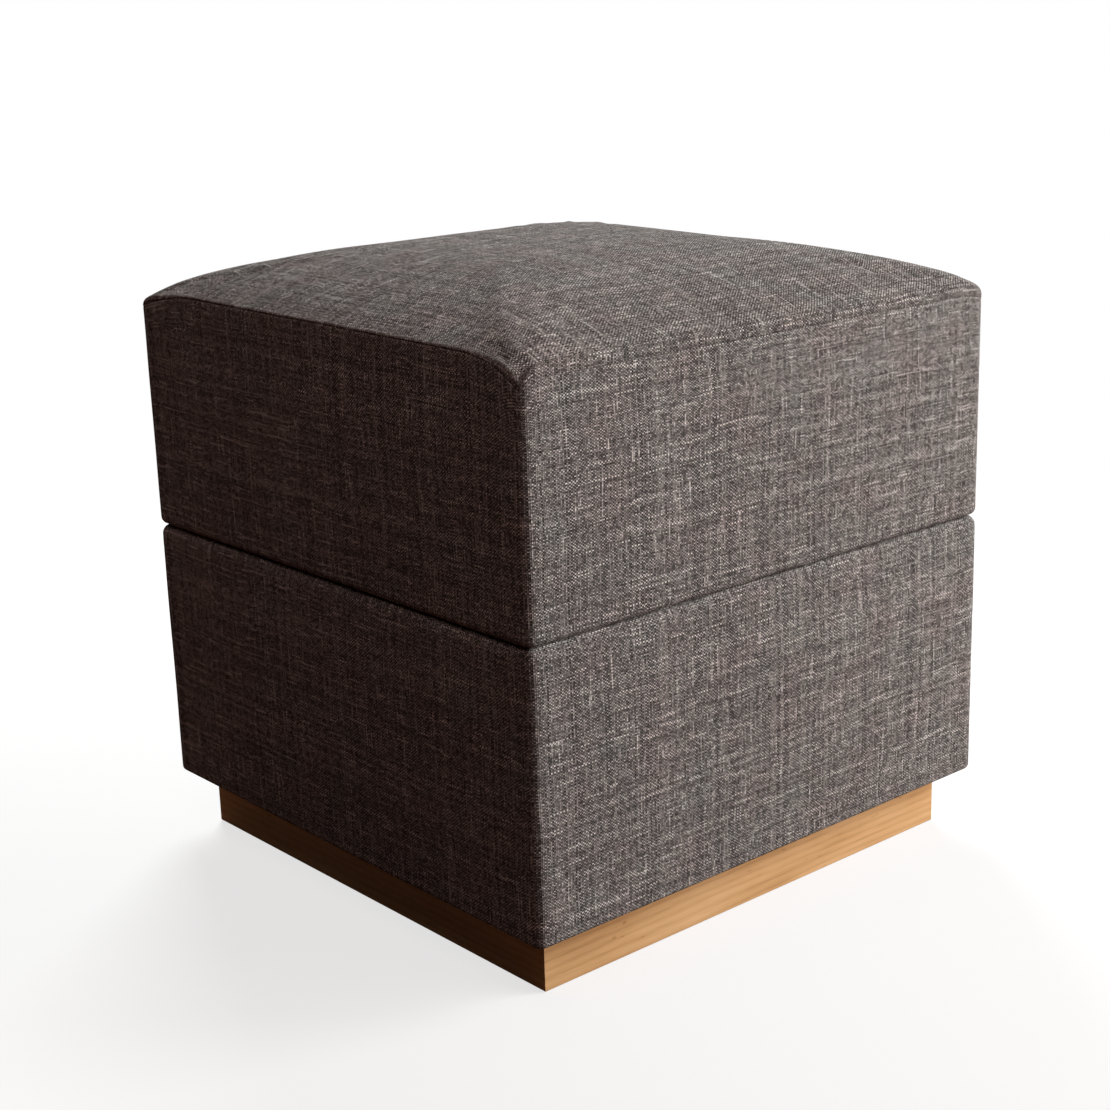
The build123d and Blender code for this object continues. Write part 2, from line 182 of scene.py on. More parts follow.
# %% [markdown]
# The seat in the photograph was padded by hand and isn't quite even. It is fuller along the left edge, leans
# a little from the back left to the front right, and its corners are pulled down, the front left one most.
# All of that is added to the even crown as smooth hills and dents.

# %% Add what the hand left
lean = 1.4 * MM
left_fullness = 4.6 * MM
left_width = 100 * MM                     # how far the fullness reaches into the seat
left_back_end = 75 * MM                   # how slowly it fades towards the back
left_front_end = 60 * MM                  # and towards the front
corner_reach = 8 * MM
corner_point = half - corner_round * (1 - math.sqrt(0.5))
corner_pulls = {(-1, -1): 6 * MM, (1, -1): 4 * MM, (-1, 1): 4 * MM, (1, 1): 2 * MM}


def fade(distance, reach):
    """0 at an edge, rising smoothly to 1 at the given distance from it."""
    share = min(max(distance / reach, 0), 1)
    return share * share * (3 - 2 * share)


def at_left(x, y):
    """1 along the left edge, fading inwards and towards the edge's two ends."""
    return (1 - fade(half + x, left_width)) * fade(half - y, left_back_end) * fade(half + y, left_front_end)


def crown(x, y):
    """Height of the seat above a point."""
    height = even_crown(x, y) + lean * (y - x) / (2 * half) + left_fullness * at_left(x, y)
    for (across, along), pull in corner_pulls.items():
        distance = math.hypot(x - across * corner_point, y - along * corner_point)
        height -= pull * math.exp(1 - math.hypot(1, distance / corner_reach))
    return height


print("crown, left and right edge:", round(crown(-half, 0), 4), round(crown(half, 0), 4))

# %% [markdown]
# At its edge the seat rolls over and runs down to the seam. Along the front the seam lies a little lower
# than at the sides, so there the cloth runs on past the roll. Along the left edge it lies higher, and cuts
# the roll short.

# %% Find the seam
roll_radius = 7 * MM
roll_first = math.radians(28)             # slope where the roll starts
roll_last = math.radians(85)              # and where it ends
left_roll = 0.35                          # share of the roll that the left edge has
seam_run = 1 * MM                         # from the end of the roll to the seam
front_run = 3.5 * MM                      # how much longer that is along the front
front_run_end = 30 * MM                   # how far it goes on round the corners
roll_start = half - roll_radius * (math.sin(roll_last) - math.sin(roll_first))
roll_drop = roll_radius * (math.cos(roll_first) - math.cos(roll_last))


def roll_height(x, y):
    """Height of the crown where it starts to roll over, inwards from a point on the edge."""
    inwards = roll_start / max(abs(x), abs(y))
    return crown(x * inwards, y * inwards)


def roll_share(x, y):
    """How much of the full roll the seat has at a point on the edge."""
    return 1 - (1 - left_roll) * at_left(x, y)


def seam_height(x, y):
    """Height of the seam at a point on the edge."""
    run = seam_run + front_run * (1 - fade(half + y, front_run_end))
    return roll_height(x, y) - roll_drop * roll_share(x, y) - run


print("seam, left and front:", round(seam_height(-half, 0), 4), round(seam_height(0, -half), 4))

# %% [markdown]
# ## Covers as swept profiles
# The cloth of the box goes up from a hem inside, over the rolled rim, down the face and under the floor. Cut
# it anywhere and the section is the same. A cube with bevelled edges would be quicker to make, but it has
# one radius everywhere and no hems. So we draw the section once and carry it round the cube. First come the
# rings that it is carried along: squares with round corners.

# %% Draw rings round the cube
SIDE_STEPS = 88
CORNER_STEPS = 8


def square_ring(out, corner):
    """Points once round a square with round corners, from the left end of the front."""
    core = out - corner
    points = []
    for quarter in range(4):
        turn = quarter * math.pi / 2
        flat = [(-core + 2 * core * step / SIDE_STEPS, -out) for step in range(SIDE_STEPS)]
        bend = []
        for step in range(CORNER_STEPS):
            angle = -math.pi / 2 + math.pi / 2 * step / CORNER_STEPS
            bend.append((core + corner * math.cos(angle), -core + corner * math.sin(angle)))
        for x, y in flat + bend:
            points.append((x * math.cos(turn) - y * math.sin(turn), x * math.sin(turn) + y * math.cos(turn)))
    return points


def lengths_round(points):
    """Distance from the first point to each point, and on to the first again."""
    lengths = [0.0]
    for here, there in zip(points, points[1:] + points[:1]):
        lengths.append(lengths[-1] + math.dist(here, there))
    return lengths


def corner_at(out):
    """Corner radius of a ring: full on the outside, sharp inside."""
    return max(corner_round - (half - out), sharp_corner)


print("round the cube:", round(lengths_round(square_ring(half, corner_round))[-1], 3), "m")

# %% [markdown]
# A section is a list of points that say how far out they are and how high. Straight stretches and arcs are
# all that these covers need.

# %% Draw a section
FACE_SPACING = 5 * MM


def arc(middle_out, middle_level, radius, start, end, steps):
    """Points of a section on an arc, with angles in degrees from straight out."""
    angles = [math.radians(start + (end - start) * step / steps) for step in range(steps + 1)]
    return [(middle_out + radius * math.cos(a), middle_level + radius * math.sin(a)) for a in angles]


def line(start, end):
    """Points of a section on a straight line, without its two ends."""
    steps = max(1, round(math.dist(start, end) / FACE_SPACING))
    return [tuple(a + (b - a) * step / steps for a, b in zip(start, end)) for step in range(1, steps)]


print("points down the face of the box:", len(line((half, box_rim), (half, foot_level))))

# %% [markdown]
# The section is closed, with the cloth outside and the plywood's face inside, so the mesh is a solid pad and
# not a paper-thin sheet. Every corner of a face also stores two lengths in a UV map named threads: metres
# along the weft and metres along the warp. The weave is drawn in those lengths later, so the threads turn
# round the corners of the cube as woven cloth does.

# %% Carry a section round the cube
SHARP_ANGLE = math.radians(60)


def mesh_object(name, vertices, faces, threads):
    """Object from points and faces, with its thread lengths and smooth shading."""
    mesh = bpy.data.meshes.new(name)
    mesh.from_pydata(vertices, [], faces)
    layer = mesh.uv_layers.new(name="threads")
    for corner, place in enumerate(threads):
        layer.uv[corner].vector = place
    mesh.shade_smooth()
    mesh.set_sharp_from_angle(angle=SHARP_ANGLE)
    return new_object(name, mesh)


def sweep(name, section, shift):
    """Closed pad from a closed section; shift moves each point of the skin as cloth does."""
    weft = lengths_round(square_ring(half, corner_round))
    warp = lengths_round(section)
    count = len(weft) - 1
    vertices = []
    for out, level in section:
        for (x, y), along in zip(square_ring(out, corner_at(out)), weft):
            vertices.append(shift(Vector((x, y, level)), out, along))
    faces = []
    threads = []
    for row in range(len(section)):
        next_row = (row + 1) % len(section)
        for column in range(count):
            next_column = (column + 1) % count
            faces.append((row * count + column, row * count + next_column,
                          next_row * count + next_column, next_row * count + column))
            left, right = weft[column], weft[column + 1]
            threads += [(left, warp[row]), (right, warp[row]), (right, warp[row + 1]), (left, warp[row + 1])]
    return mesh_object(name, vertices, faces, threads)


print("a swept ring has", 4 * (SIDE_STEPS + CORNER_STEPS), "points")

# %% [markdown]
# ## Room for the hinges
# At the back, two butt hinges lie between the rims. On the real box the leaf squeezes the padding flat and
# the knuckles sit in a hollow of both rims. Cutting that with a boolean would leave ragged cloth, so instead
# every point of a rim that a hinge would touch is pressed aside.

# %% Press the rims aside at the hinges
hinge_spans = []
for hinge in ("hinge_left", "hinge_right"):
    leaf_low, leaf_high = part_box(f"{hinge}_box_leaf")
    hinge_spans.append((leaf_low.x, leaf_high.x))
pin_low, pin_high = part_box("hinge_left_pin")
axis_y = (pin_low.y + pin_high.y) / 2
axis_z = (pin_low.z + pin_high.z) / 2
leaf_row = leaf_low.y - 0.4 * MM          # a row of points lies just in front of both leaves
leaf_clear = 0.2 * MM
knuckle_room = 3.7 * MM                   # radius of the hollow round the knuckles
hinge_end_fade = 4 * MM
rim_padding = 2 * MM                      # thicker than the padding that a leaf squeezes


def beside_hinge(x):
    """1 within a hinge, falling to 0 a few millimetres past its ends."""
    nearest = min(max(low - x, x - high) for low, high in hinge_spans)
    return 1 - fade(nearest, hinge_end_fade)


def make_room_for_hinge(point, plywood_edge):
    """Press a point of a rim back to the plywood's edge under a leaf, and out of the knuckles' way."""
    share = beside_hinge(point.x)
    if share == 0 or point.y < leaf_row - leaf_clear:
        return point
    if abs(point.z - plywood_edge) < rim_padding:
        point.z += (plywood_edge - point.z) * share
    across = point.y - axis_y
    if abs(across) < knuckle_room:
        upward = math.copysign(1, plywood_edge - axis_z)
        clear = axis_z + upward * math.sqrt(knuckle_room ** 2 - across ** 2)
        point.z += max((clear - point.z) * upward, 0) * upward * share
    return point


print("hinges span", [[round(v, 3) for v in span] for span in hinge_spans])

# %% [markdown]
# ## How tight cloth departs from a flat face
# Stretched over foam, a face is never dead flat. It swells a little between its edges, and the hand of
# whoever pulled the cloth leaves slow hills of half a millimetre. A displacement modifier could do it, but
# it would need a painted mask for the rims and the hinges. In code the mask is a formula: a swell that fades
# towards every edge, and smooth noise that fades at the rims. A number added to a noise's place, here and
# below, only chooses which hills it draws.

# %% Swell and unevenness
swell = 1.1 * MM
swell_corner_fade = 90 * MM
swell_rim_fade = 60 * MM
unevenness = 0.45 * MM
hill_width = 75 * MM
hill_rim_fade = 12 * MM
skin_start = panel_face + 2 * MM          # what lies further out than this is the skin


def straight_out(point):
    """Direction out of the face that a point is on."""
    if abs(point.y) > abs(point.x):
        return Vector((0, math.copysign(1, point.y), 0))
    return Vector((math.copysign(1, point.x), 0, 0))


def skin_shift(point, out, low, high, plywood_edge):
    """Move a point of a cover: swell and hills on the faces, pockets at the hinges."""
    if out > skin_start:
        from_rim = min(point.z - low, high - point.z)
        from_corner = half - min(abs(point.x), abs(point.y))
        full = swell * fade(from_corner, swell_corner_fade) * fade(from_rim, swell_rim_fade)
        hill = unevenness * noise.noise(point / hill_width + Vector((3.1, 0, 0)))
        point = point + straight_out(point) * (full + hill * fade(from_rim, hill_rim_fade))
    return make_room_for_hinge(point, plywood_edge)


print(f"faces swell by {swell / MM} mm")

# %% [markdown]
# ## The box's cover
# One length of cloth wraps the box. Its section starts at the hem inside, rolls over the rim, runs down the
# face, turns under the floor and comes back along the plywood.

# %% Draw the section of the box
box_section = [(clear_half, box_hem_end)]
box_section += line((clear_half, box_hem_end), (clear_half, box_rim - inner_round))
box_section += arc(clear_half + inner_round, box_rim - inner_round, inner_round, 180, 90, 4)
box_section += [(leaf_row, box_rim)]
box_section += line((leaf_row, box_rim), (half - rim_round, box_rim))
box_section += arc(half - rim_round, box_rim - rim_round, rim_round, 90, 0, 8)
box_section += line((half, box_rim - rim_round), (half, foot_level + foot_round))
box_section += arc(half - foot_round, foot_level + foot_round, foot_round, 0, -90, 6)
box_section += line((half - foot_round, foot_level), (half - flange, foot_level))
box_section += [(half - flange, foot_level), (half - flange, floor_under)]
box_section += [(panel_face, floor_under), (panel_face, wall_top)]
box_section += [(panel_inside, wall_top), (panel_inside, box_hem_end)]
print("section of the box:", len(box_section), "points")

# %% [markdown]
# Where the cloth goes over the rim, the staples inside draw it in here and there. The puckers are short
# waves along the rim that die out down the face. Two calls then tell the frame about the piece: the body
# that it rides on, and the CAD parts that it stands for, which are hidden. The cover stands for the foam
# under it too, because the two are one soft pad.

# %% Make the box's cover
rim_pucker = 0.45 * MM
rim_pucker_width = 8 * MM
rim_pucker_fade = 16 * MM


def box_shift(point, out, along):
    """Skin of the box, drawn in here and there where it goes over the rim."""
    if out > half - rim_round:
        drawn = rim_pucker * (0.5 + 0.5 * noise.noise(Vector((along / rim_pucker_width, 4.4, 0))))
        drawn *= 1 - fade(box_rim - point.z, rim_pucker_fade)
        point = Vector((point.x * (1 - drawn / half), point.y * (1 - drawn / half), point.z))
    return skin_shift(point, out, foot_level, box_rim, wall_top)


box_cover = sweep("box_upholstery", box_section, box_shift)
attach(box_cover, "box")
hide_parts("box_cover", "box_front_pad", "box_back_pad", "box_left_pad", "box_right_pad")
print("box cover:", len(box_cover.data.vertices), "points")

# %% [markdown]
# ## The lid's side band
# The lid is boxed: a band goes round it, and the top panel is sewn to the band's upper edge. The band's edge
# rolls inwards into the seam, which leaves the narrow dark groove that a sewn edge shows. Drawing the groove
# as a dark line in the material would look painted on as soon as the light moves.

# %% Draw the section of the band
seam_roll = 1.1 * MM                      # radius of the band's edge at the seam

band_section = [(clear_half, lid_hem_end)]
band_section += line((clear_half, lid_hem_end), (clear_half, lid_rim + inner_round))
band_section += arc(clear_half + inner_round, lid_rim + inner_round, inner_round, 180, 270, 4)
band_section += [(leaf_row, lid_rim)]
band_section += line((leaf_row, lid_rim), (half - lid_rim_round, lid_rim))
band_section += arc(half - lid_rim_round, lid_rim + lid_rim_round, lid_rim_round, -90, 0, 8)
band_section += line((half, lid_rim + lid_rim_round), (half, seam_level - 2 * seam_roll))
band_section += arc(half - seam_roll, seam_level - 1.4 * seam_roll, seam_roll, 0, 120, 5)
band_section += [(half - 2.2 * seam_roll, seam_level - 2 * seam_roll)]
band_section += [(half - 2.4 * seam_roll, deck_top), (panel_face, deck_top), (panel_face, rail_under)]
band_section += [(panel_inside, rail_under), (panel_inside, lid_hem_end)]
print("section of the band:", len(band_section), "points")

# %% [markdown]
# The seam rises and falls, so the top of the band is moved with it. At the back, the lid's tighter rim would
# cut into the box's rim as the lid opens, so there it is eased to the box's radius. The two then roll past
# each other.

# %% Make the side band
seam_pull = 60 * MM                       # the seam's rise and fall dies out over this height
seam_closing = 0.35 * MM                  # the seam is sewn tight, so its groove is narrow
gather = 0.5 * MM
gather_width = 17 * MM
swell_end = seam_level + 6 * MM           # the band's swell fades out just above the seam


def seam_wander(along):
    """Small rise and fall of the sewn line."""
    return gather * noise.noise(Vector((along / (2 * gather_width), 7.7, 0)))


def ease_back_rim(point):
    """Keep the lid's back rim as round as the box's."""
    away = Vector((0, point.y - (half - rim_round), point.z - (lid_rim + rim_round)))
    if away.y > 0 and away.z < 0 and away.length > rim_round:
        point += away.normalized() * (rim_round - away.length)
    return point


def band_shift(point, out, along):
    """Skin of the band, its back rim eased and its top carried up and down with the seam."""
    point = ease_back_rim(point)
    pulled = fade(point.z - (seam_level - seam_pull), seam_pull)
    rise = seam_height(point.x, point.y) - seam_level if out > skin_start else 0
    point = skin_shift(point, out, lid_rim, swell_end, rail_under)
    if out > skin_start:
        point.z += pulled * (rise + seam_wander(along) + seam_closing)
    return point


band = sweep("lid_side_upholstery", list(reversed(band_section)), band_shift)
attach(band, "lid")
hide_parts("lid_side_band", "lid_front_pad", "lid_back_pad", "lid_left_pad", "lid_right_pad")
print("side band:", len(band.data.vertices), "points")

# %% [markdown]
# ## The seat
# The top panel is one square of cloth over the crowned foam. A square grid suits it better than a swept
# ring, because the weave is square too. The grid's lines are crowded towards the edges, where the shape
# turns fastest, and its corners are rounded.

# %% Lay out a square grid
EDGE_CROWDING = 0.7


def round_square(a, b, out, corner):
    """Place on a square with round corners, from a place on the plain square from -1 to 1."""
    x, y = abs(a) * out, abs(b) * out
    core = out - corner
    p, q = (x - core) / corner, (y - core) / corner
    if p > 0 and q > 0:
        x = core + corner * p * math.sqrt(1 - q * q / 2)
        y = core + corner * q * math.sqrt(1 - p * p / 2)
    return math.copysign(x, a), math.copysign(y, b)


def grid_places(steps):
    """Places from -1 to 1, crowded towards the ends."""
    even = [2 * step / steps - 1 for step in range(steps + 1)]
    return [(1 - EDGE_CROWDING) * t + EDGE_CROWDING * math.sin(math.pi * t / 2) for t in even]


def edge_order(steps):
    """Grid numbers of the edge points, once round."""
    row = steps + 1
    front = list(range(steps))
    right = [k * row + steps for k in range(steps)]
    back = [steps * row + k for k in range(steps, 0, -1)]
    left = [k * row for k in range(steps, 0, -1)]
    return front + right + back + left


print("a grid of four steps has", len(edge_order(4)), "points on its edge")

# %% [markdown]
# From its edge the sheet is carried on through rims, one row of points after another, and closed underneath
# if it is a pad. The linings are made in the same way, so one function makes them all. It is named for the
# tray that a lining looks like.

# %% Make a sheet with turned edges


def tray(name, steps, out, corner, height, rims, cap):
    """Sheet on a grid, its edge carried on through rims of (out, corner, height), and closed by a cap."""
    places = [(a, b) for b in grid_places(steps) for a in grid_places(steps)]
    vertices = []
    for a, b in places:
        x, y = round_square(a, b, out, corner)
        vertices.append((x, y, height(x, y)))
    threads_at = [vertex[:2] for vertex in vertices]
    row = steps + 1
    faces = []
    for b in range(steps):
        for a in range(steps):
            here = b * row + a
            faces.append((here, here + 1, here + row + 1, here + row))
    loop = edge_order(steps)
    edge = [places[k] for k in loop]
    for rim_out, rim_corner, rim_height in rims:
        new_loop = list(range(len(vertices), len(vertices) + len(edge)))
        for old, (a, b) in zip(loop, edge):
            x, y = round_square(a, b, rim_out, rim_corner)
            vertices.append((x, y, rim_height(x, y)))
            span = math.dist(vertices[-1], vertices[old])
            outward = Vector((a if abs(a) >= abs(b) else 0, b if abs(b) >= abs(a) else 0)).normalized()
            threads_at.append(tuple(Vector(threads_at[old]) + outward * span))
        for k in range(len(edge)):
            after = (k + 1) % len(edge)
            faces.append((loop[after], loop[k], new_loop[k], new_loop[after]))
        loop = new_loop
    if cap:
        faces.append(tuple(reversed(loop)))
    threads = [threads_at[vertex] for face in faces for vertex in face]
    return mesh_object(name, vertices, faces, threads)


print("trays ready")

# %% [markdown]
# The seat's rims go over the roll, down to the seam, in under it and on to the deck. Their corners get
# sharper inwards, as those of the covers' rings do.

# %% Draw the edge of the seat
ROLL_STEPS = 6
seam_rows = (                             # inwards from the outside, and up from the seam
    (0.1 * MM, 0.7 * MM),
    (0.6 * MM, 0.1 * MM),
    (1.8 * MM, -0.5 * MM),
    (4.2 * MM, -4 * MM),
)
tuck = 4.2 * MM                           # the pad's edge on the deck, inwards from the outside


def rim(out, height):
    """Row of points round the edge of the seat, with the corner radius that it needs."""
    return out, corner_at(out), height


def rolled(angle):
    """Row on the roll where it has turned to an angle."""
    out = roll_start + roll_radius * (math.sin(angle) - math.sin(roll_first))
    drop = roll_radius * (math.cos(roll_first) - math.cos(angle))
    return rim(out, lambda x, y: roll_height(x, y) - drop * roll_share(x, y))


def near_seam(inset, above):
    """Row that follows the seam, a little inwards from it and above or below it."""
    return rim(half - inset, lambda x, y: seam_height(x, y) + above)


def flat_at(level):
    """The same height everywhere."""
    return lambda x, y: level


turns = [roll_first + (roll_last - roll_first) * step / ROLL_STEPS for step in range(1, ROLL_STEPS + 1)]
seat_rims = [rolled(angle) for angle in turns]
seat_rims += [near_seam(inset, above) for inset, above in seam_rows]
seat_rims.append(rim(half - tuck, flat_at(deck_top)))
print("rows at the seat's edge:", len(seat_rims))

# %% [markdown]
# The seam gathers the panel a little, so its last centimetre is puckered: short waves that run into the seam
# and die out up the shoulder.

# %% Make the seat
SEAT_STEPS = 128
pucker = 0.55 * MM
pucker_reach = 16 * MM
seat_hill_fade = 40 * MM


def seat_height(x, y):
    """Crown with slow hills and puckers at the seam."""
    edge = roll_start - max(abs(x), abs(y))
    along = x if abs(y) >= abs(x) else y
    waves = noise.noise(Vector((along / gather_width, math.copysign(5, x + y), 2.5)))
    hills = noise.noise(Vector((x, y, 0)) / hill_width + Vector((0, 0, 9)))
    puckered = pucker * waves * (1 - fade(edge, pucker_reach))
    return crown(x, y) + puckered + unevenness * hills * fade(edge, seat_hill_fade)


seat_corner = corner_at(roll_start)
seat = tray("seat_upholstery", SEAT_STEPS, roll_start, seat_corner, seat_height, seat_rims, cap=True)
print("seat as drawn:", len(seat.data.vertices), "points")

# %% [markdown]
# ## Let the seat settle
# A drawn crown is too regular: real cloth finds its own balance between the foam that pushes it up and the
# seam that holds it. So a copy of the top, without its rolled edge, goes through the cloth solver for twenty
# frames. Its edge is pinned, gravity is off, the foam is a pressure from below, and the cloth beside the
# seam is cut a little too full.

# %% Set up the cloth solver
SETTLING_FRAMES = 20
sewn_width = 0.2 * MM
full_width = 60 * MM


def edge_distance(place):
    """Distance of a point from the edge of the top."""
    return roll_start - max(abs(place.x), abs(place.y))


def weigh(piece, name, weight):
    """Vertex group with a weight worked out from each point's place."""
    group = piece.vertex_groups.new(name=name)
    for vertex in piece.data.vertices:
        group.add([vertex.index], weight(vertex.co), "REPLACE")


def settle(piece):
    """Points of a pinned sheet after the solver has run."""
    weigh(piece, "sewn", lambda place: 1.0 if edge_distance(place) < sewn_width else 0.0)
    weigh(piece, "full", lambda place: 1 - fade(edge_distance(place), full_width))
    solver = piece.modifiers.new("settle", "CLOTH")
    fabric = solver.settings
    fabric.quality = 4
    fabric.mass = 0.3
    fabric.tension_stiffness = 25
    fabric.compression_stiffness = 25
    fabric.shear_stiffness = 8
    fabric.bending_stiffness = 0.3
    fabric.use_pressure = True
    fabric.uniform_pressure_force = 1.5
    fabric.vertex_group_mass = "sewn"
    fabric.vertex_group_shrink = "full"
    fabric.shrink_max = -0.015
    fabric.effector_weights.gravity = 0
    solver.point_cache.frame_start = 1
    solver.point_cache.frame_end = SETTLING_FRAMES
    for frame_number in range(1, SETTLING_FRAMES + 1):
        bpy.context.scene.frame_set(frame_number)
    settled = piece.evaluated_get(bpy.context.evaluated_depsgraph_get()).data
    return [vertex.co.copy() for vertex in settled.vertices]


print("cloth solver ready")

# %% [markdown]
# No point may move more than four millimetres, so the crown keeps its measured shape. The grid's points come
# first in the seat's mesh and in the same order, so the settled points can replace the drawn ones, and the
# copy with its solver is thrown away.

# %% Settle the seat
settling_limit = 4 * MM

trial = tray("settling", SEAT_STEPS, roll_start, seat_corner, seat_height, [], cap=False)
furthest = 0.0
for vertex, settled_place in zip(seat.data.vertices, settle(trial)):
    move = settled_place - vertex.co
    furthest = max(furthest, move.length)
    if move.length > settling_limit:
        move *= settling_limit / move.length
    vertex.co += move
bpy.data.objects.remove(trial)
bpy.context.scene.frame_set(1)
print(f"settled by up to {furthest / MM:.1f} mm, held to {settling_limit / MM:.0f} mm")

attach(seat, "lid")
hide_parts("lid_top_panel", "seat_foam")
print("seat top at", round(max(vertex.co.z for vertex in seat.data.vertices), 4))

# %% [markdown]
# ## Linings and the dust sheet
# Inside, a thin dark non-woven cloth is glued and stapled to the plywood. Each lining is a tray: the floor of
# the box, or the ceiling of the lid, with the sides folded up or down from it. A solidify modifier gives the
# cloth its thickness towards the plywood. The cloth was cut as a cross, so its flat size is the floor and
# two sides each way.

# %% Make the linings
LINING_STEPS = 48
SIDE_ROWS = (0.15, 0.3, 0.45, 0.6, 0.75, 0.9, 1.0)
lining_cloth = 0.9 * MM
lining_slack = 0.8 * MM
slack_width = 60 * MM
slack_edge_fade = 30 * MM
lining_fold = 1.5 * MM                    # radius of the fold between floor and sides
fold_step = 0.4 * MM                      # how far the row on that fold lies in from both
lining_lift = 1.2 * MM                    # the cloth's face, off the plywood
lining_half = clear_half + 0.3 * MM       # the sides lie just behind the face of the hems


def slack(x, y, z):
    """Small looseness of a glued cloth, always away from what it is glued to."""
    return lining_slack * (0.5 + 0.5 * noise.noise(Vector((x, y, z)) / slack_width))


def lining(name, node, body, level, rim_level, up):
    """Floor or ceiling with its four sides; up is 1 for the box and -1 for the lid."""
    rise = rim_level - level
    sides = [(lining_half - fold_step, sharp_corner, flat_at(level + up * fold_step))]
    sides += [(lining_half, sharp_corner, flat_at(level + up * lining_fold))]
    sides += [(lining_half, sharp_corner, flat_at(level + rise * share)) for share in SIDE_ROWS]

    def loose(x, y):
        return level + up * slack(x, y, 0) * fade(lining_half - max(abs(x), abs(y)), slack_edge_fade)

    made = tray(name, LINING_STEPS, lining_half - lining_fold, sharp_corner, loose, sides, cap=False)
    thick = made.modifiers.new("cloth", "SOLIDIFY")
    thick.thickness = lining_cloth
    thick.offset = -1 if up > 0 else 1
    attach(made, body)
    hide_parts(node)
    return made


box_lining_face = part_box("box_lining")[0].z + lining_lift
lid_lining_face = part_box("lid_lining")[1].z - lining_lift
box_lining = lining("box_lining_cloth", "box_lining", "box", box_lining_face, box_hem_end, 1)
lid_lining = lining("lid_lining_cloth", "lid_lining", "lid", lid_lining_face, lid_hem_end, -1)

# %% [markdown]
# A sheet of the same cloth closes the underside. It is stapled round its edge under the floor, and its
# middle hangs a few millimetres. A smooth sag is enough here, because the sheet is seen only from below.

# %% Make the dust sheet
dust_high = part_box("dust_sheet")[1]
dust_half = dust_high.x
dust_gap = 0.2 * MM
dust_cloth = 0.6 * MM
dust_sag = 4 * MM
dust_sag_fade = 120 * MM
dust_slack_fade = 20 * MM


def dust_height(x, y):
    """Height of the dust sheet at a point."""
    edge = dust_half - max(abs(x), abs(y))
    sag = dust_sag * fade(edge, dust_sag_fade)
    return dust_high.z - dust_gap - sag - slack(x, y, 1) * fade(edge, dust_slack_fade)


dust = tray("dust_sheet_cloth", LINING_STEPS, dust_half, sharp_corner, dust_height, [], cap=False)
dust_thick = dust.modifiers.new("cloth", "SOLIDIFY")
dust_thick.thickness = dust_cloth
dust_thick.offset = -1
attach(dust, "box")
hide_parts("dust_sheet")
print("dust sheet hangs to", round(min(vertex.co.z for vertex in dust.data.vertices), 4))

# %% [markdown]
# ## A small kit for materials
# A finish in Blender is a graph of nodes. Writing each node and wire by hand hides the idea, so short
# helpers add a node with its inputs: an input may be a number, a colour or the output of another node.

# %% Helpers for nodes and wires


def add(tree, kind, inputs=None, **settings):
    """New node with its settings, and its inputs by name or number."""
    made = tree.nodes.new(kind)
    for name, value in settings.items():
        setattr(made, name, value)
    for key, value in (inputs or {}).items():
        if isinstance(value, bpy.types.NodeSocket):
            tree.links.new(value, made.inputs[key])
        else:
            made.inputs[key].default_value = value
    return made


def calc(tree, operation, *values):
    """Output of a Math node."""
    return add(tree, "ShaderNodeMath", dict(enumerate(values)), operation=operation).outputs[0]


def between(tree, value, low, high, start=0.0, end=1.0):
    """Value stretched from low..high to start..end, and held at the ends."""
    stretch = {"Value": value, "From Min": low, "From Max": high, "To Min": start, "To Max": end}
    return add(tree, "ShaderNodeMapRange", stretch).outputs["Result"]


def ramp(tree, value, *stops):
    """Colour ramp through (position, colour) stops."""
    made = add(tree, "ShaderNodeValToRGB", {"Fac": value})
    while len(made.color_ramp.elements) < len(stops):
        made.color_ramp.elements.new(1.0)
    for element, (position, colour) in zip(made.color_ramp.elements, stops):
        element.position = position
        element.color = (*colour, 1)
    return made.outputs["Color"]


print("node helpers ready")

# %% [markdown]
# Most of what makes a surface look real is noise at the right scale. Wood and yarn need noise that is
# stretched along the grain, so one helper takes a scale for each axis.

# %% Helpers for noise


def clouds(tree, place, scale, detail):
    """Noise texture at a place; its outputs are a number and a colour."""
    return add(tree, "ShaderNodeTexNoise", {"Vector": place, "Scale": scale, "Detail": detail}).outputs


def speckle(tree, x, y, z=0.0, detail=2.0):
    """Noise from 0 to 1 at a place given in its own units."""
    place = add(tree, "ShaderNodeCombineXYZ", {0: x, 1: y, 2: z}).outputs[0]
    return clouds(tree, place, 1.0, detail)["Fac"]


def stretched(tree, place, scales, detail):
    """Noise from 0 to 1 with a scale of its own along each axis, in cycles per metre."""
    axes = add(tree, "ShaderNodeSeparateXYZ", {0: place}).outputs
    scaled = [calc(tree, "MULTIPLY", axis, scale) for axis, scale in zip(axes, scales)]
    return speckle(tree, *scaled, detail)


def object_place(tree):
    """Place on the piece, in metres."""
    return add(tree, "ShaderNodeTexCoord").outputs["Object"]


print("noise helpers ready")

# %% [markdown]
# Every finish of the ottoman is a principled shader with a colour, a roughness and a relief. What is the
# same all over a surface is set on the shader itself.

# %% Helpers for finishes


def finish_of(name, roughness, gloss=0.5):
    """New material, its nodes and its principled shader."""
    material = bpy.data.materials.new(name)
    material.use_nodes = True
    shader = material.node_tree.nodes["Principled BSDF"]
    shader.inputs["Roughness"].default_value = roughness
    shader.inputs["Specular IOR Level"].default_value = gloss
    return material, material.node_tree, shader


def relief(tree, shader, height, distance, strength):
    """Bump from a height of 0 to 1, as high as the distance in metres."""
    bump = add(tree, "ShaderNodeBump", {"Height": height, "Distance": distance, "Strength": strength})
    tree.links.new(bump.outputs["Normal"], shader.inputs["Normal"])


print("finish helpers ready")

